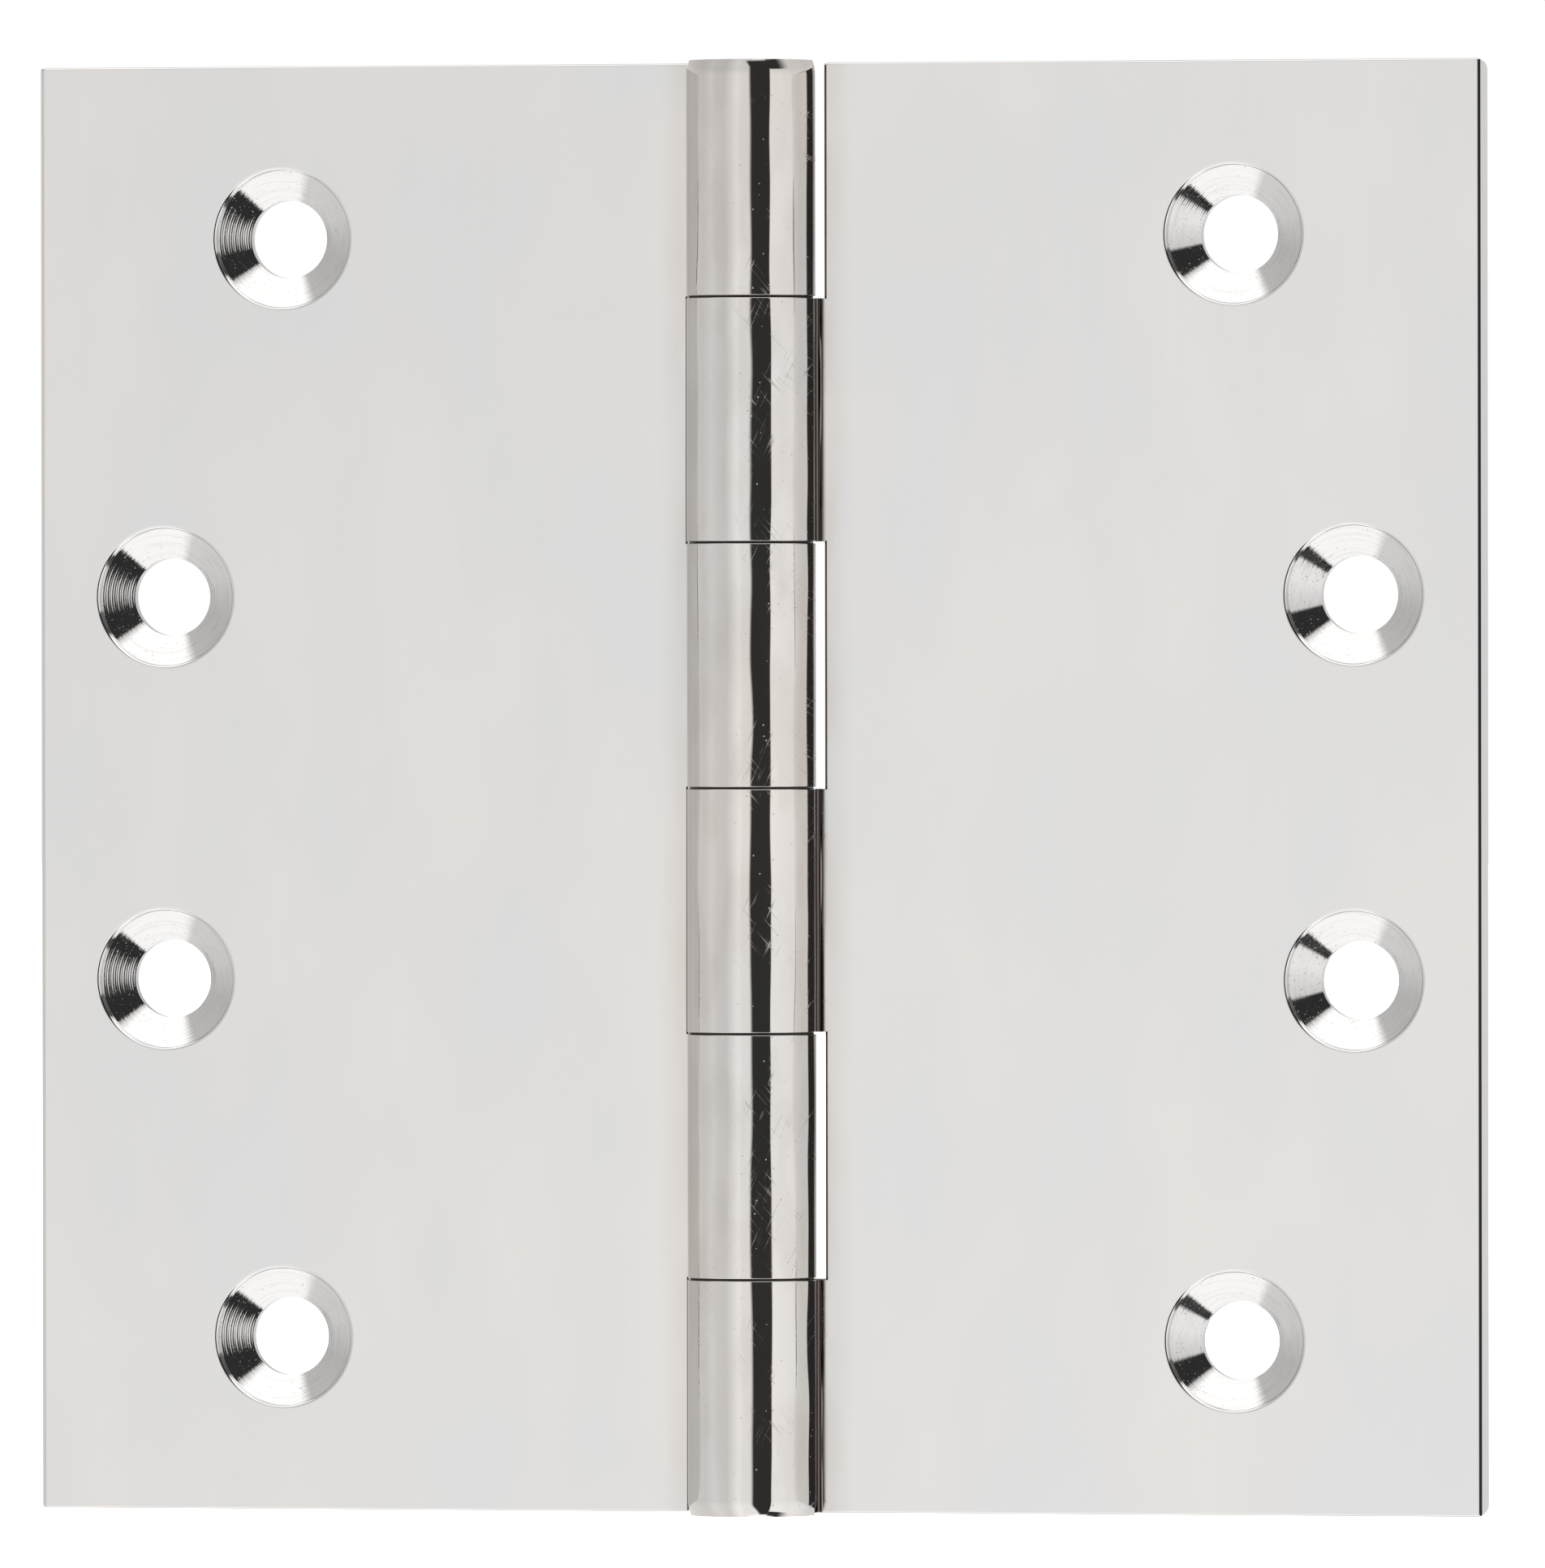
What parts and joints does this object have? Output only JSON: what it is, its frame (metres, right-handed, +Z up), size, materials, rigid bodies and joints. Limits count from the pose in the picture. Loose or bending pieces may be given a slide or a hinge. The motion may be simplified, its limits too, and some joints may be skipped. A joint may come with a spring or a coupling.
{
  "type": "butt hinge",
  "caption": "Open-flat square-cornered butt hinge: two countersunk leaves with interlocking knuckles turning on one plain hidden pin.",
  "frame": {"origin": "on the pin axis at mid height, which is the middle of the open hinge's box", "axes": "+Z up the pin; -Y out of the countersunk faces, +Y out of the backs of the leaves; -X to the frame leaf, +X to the door leaf, as seen from the countersunk side"},
  "size_m": [0.102, 0.0088, 0.1002],
  "materials": {
    "leaf_metal": "bright polished nickel plate",
    "pin_metal": "plain drawn steel"
  },
  "bodies": {
    "frame_side": {"frame_leaf": "leaf_metal", "hinge_pin": "pin_metal"},
    "door_side": {"door_leaf": "leaf_metal"}
  },
  "joints": [
    {"name": "hinge_turn", "type": "hinge", "parent": "frame_side", "child": "door_side", "pos_m": [0, 0, 0], "axis": [0, 0, -1], "range_deg": [-90, 180]}
  ]
}
